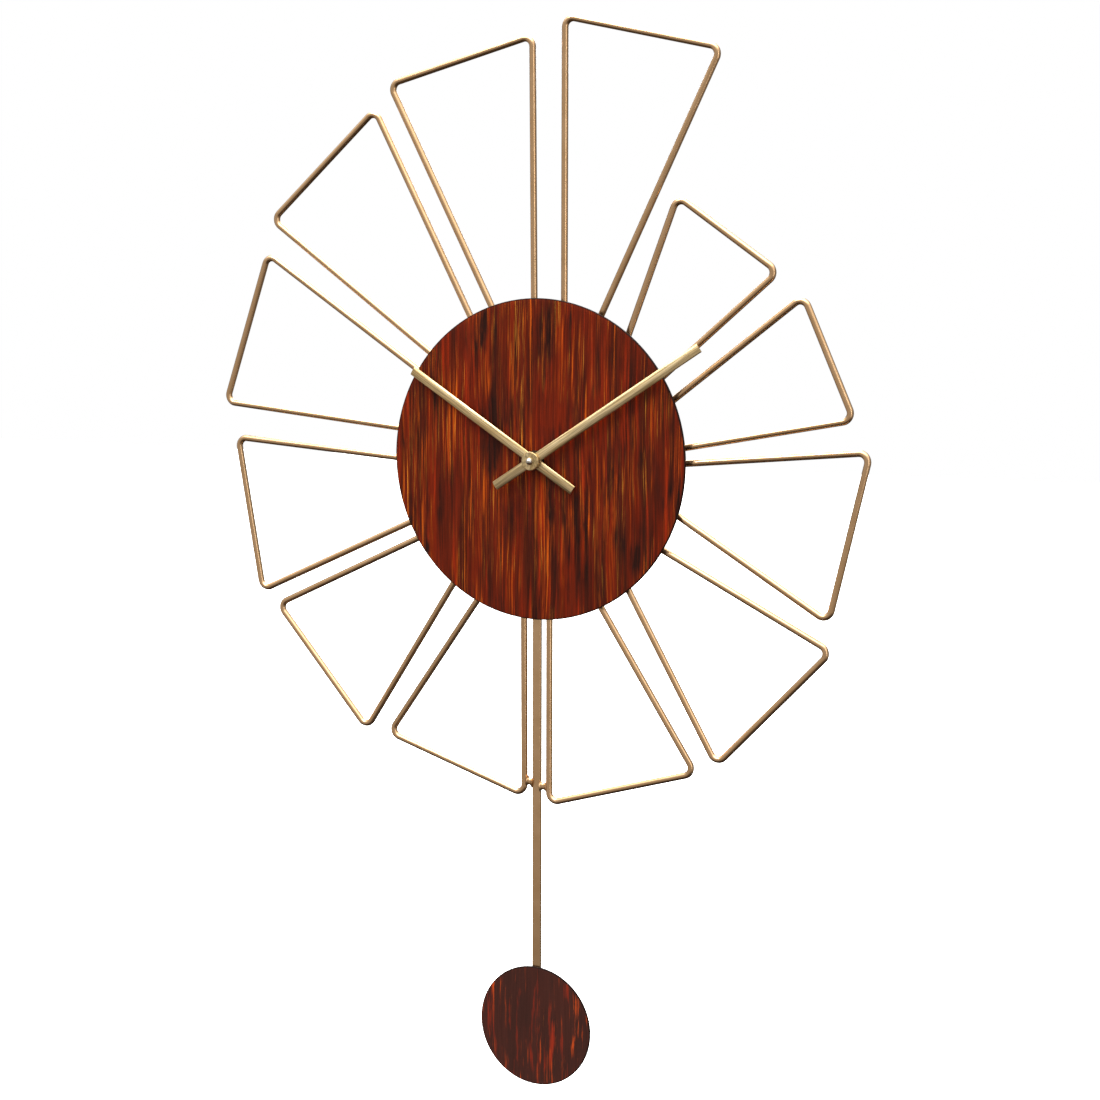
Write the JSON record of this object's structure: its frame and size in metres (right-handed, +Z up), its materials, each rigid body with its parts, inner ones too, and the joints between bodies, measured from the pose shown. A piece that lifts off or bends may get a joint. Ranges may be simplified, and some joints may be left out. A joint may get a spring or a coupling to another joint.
{
  "type": "sunburst wall clock",
  "caption": "Sunburst wall clock: round painted dial in a widening spiral of open wire rays, straight bar hands, a disc on a fixed bar below, battery movement behind.",
  "frame": {"origin": "where the axis of the hands meets the wall, on the flat rear cover of the movement", "axes": "+Z up, +X to the right as seen from the front, the dial faces -Y and the wall is the plane Y = 0"},
  "size_m": [0.5157, 0.0339, 0.7766],
  "materials": {
    "gold_paint": "satin champagne-gold lacquer",
    "dial_paint": "hand-painted streaks under clear lacquer",
    "disc_paint": "dark hand-painted streaks under clear lacquer",
    "brushed_brass": "brushed lengthways",
    "plated_steel": "zinc plated",
    "black_steel": "black oxide",
    "black_plastic": "fine spark texture",
    "white_plastic": "moulded acetal",
    "rubber": "matt",
    "battery_wrap": null,
    "circuit_board": "green solder mask",
    "enamelled_copper": "clear enamel",
    "electrical_steel": "rolled sheet"
  },
  "bodies": {
    "clock_frame": {"sun_ray_01": "gold_paint", "sun_ray_02": "gold_paint", "sun_ray_03": "gold_paint", "sun_ray_04": "gold_paint", "sun_ray_05": "gold_paint", "sun_ray_06": "gold_paint", "sun_ray_07": "gold_paint", "sun_ray_08": "gold_paint", "sun_ray_09": "gold_paint", "sun_ray_10": "gold_paint", "sun_ray_11": "gold_paint", "sun_ray_12": "gold_paint", "weld_ring": "gold_paint", "drop_bar": "gold_paint", "tie_bar_left": "gold_paint", "tie_bar_right": "gold_paint", "dial": "dial_paint", "pendulum_disc": "disc_paint", "dial_stud_1": "plated_steel", "dial_spacer_1": "plated_steel", "dial_nut_1": "plated_steel", "dial_stud_2": "plated_steel", "dial_spacer_2": "plated_steel", "dial_nut_2": "plated_steel", "dial_stud_3": "plated_steel", "dial_spacer_3": "plated_steel", "dial_nut_3": "plated_steel", "threaded_bush": "brushed_brass", "brass_washer": "brushed_brass", "hex_nut": "black_steel", "hanger_plate": "plated_steel", "battery_spring": "plated_steel", "minus_contact": "plated_steel", "plus_contact": "plated_steel", "quartz_crystal": "plated_steel", "train_bridge": "white_plastic", "coil_bobbin": "white_plastic", "front_case": "black_plastic", "rear_cover": "black_plastic", "chip": "black_plastic", "rubber_washer": "rubber", "circuit_board": "circuit_board", "coil_winding": "enamelled_copper", "coil_core": "electrical_steel", "stator": "electrical_steel"},
    "minute_hand": {"minute_hand": "brushed_brass", "hand_nut": "brushed_brass", "minute_arbor": "plated_steel"},
    "hour_hand": {"hour_hand": "brushed_brass", "hour_wheel": "white_plastic"},
    "minute_wheel": {"minute_wheel": "white_plastic"},
    "third_wheel": {"third_wheel": "white_plastic"},
    "rotor": {"rotor": "plated_steel"},
    "setting_knob": {"setting_knob": "white_plastic"},
    "battery": {"battery": "battery_wrap"}
  },
  "joints": [
    {"name": "minute_hand_spin", "type": "hinge", "parent": "clock_frame", "child": "minute_hand", "pos_m": [0, 0, 0], "axis": [0, 1, 0], "continuous": true},
    {"name": "hour_hand_spin", "type": "hinge", "parent": "clock_frame", "child": "hour_hand", "pos_m": [0, 0, 0], "axis": [0, 1, 0], "continuous": true},
    {"name": "minute_wheel_spin", "type": "hinge", "parent": "clock_frame", "child": "minute_wheel", "pos_m": [0.01043, 0, -0.0028], "axis": [0, 1, 0], "continuous": true},
    {"name": "third_wheel_spin", "type": "hinge", "parent": "clock_frame", "child": "third_wheel", "pos_m": [0.0118, 0, 0.00826], "axis": [0, 1, 0], "continuous": true},
    {"name": "rotor_spin", "type": "hinge", "parent": "clock_frame", "child": "rotor", "pos_m": [0.00943, 0, 0.02165], "axis": [0, 1, 0], "continuous": true},
    {"name": "setting_knob_spin", "type": "hinge", "parent": "clock_frame", "child": "setting_knob", "pos_m": [0.02119, 0, -0.00374], "axis": [0, 1, 0], "continuous": true},
    {"name": "battery_slide", "type": "slide", "parent": "clock_frame", "child": "battery", "axis": [0, 1, 0], "range_m": [0, 0.018]}
  ],
  "couplings": [
    {"joint": "hour_hand_spin", "follows": "minute_hand_spin", "ratio": 0.083333},
    {"joint": "minute_wheel_spin", "follows": "minute_hand_spin", "ratio": -0.33333},
    {"joint": "setting_knob_spin", "follows": "minute_hand_spin", "ratio": 1},
    {"joint": "third_wheel_spin", "follows": "minute_hand_spin", "ratio": -8},
    {"joint": "rotor_spin", "follows": "minute_hand_spin", "ratio": 60}
  ]
}
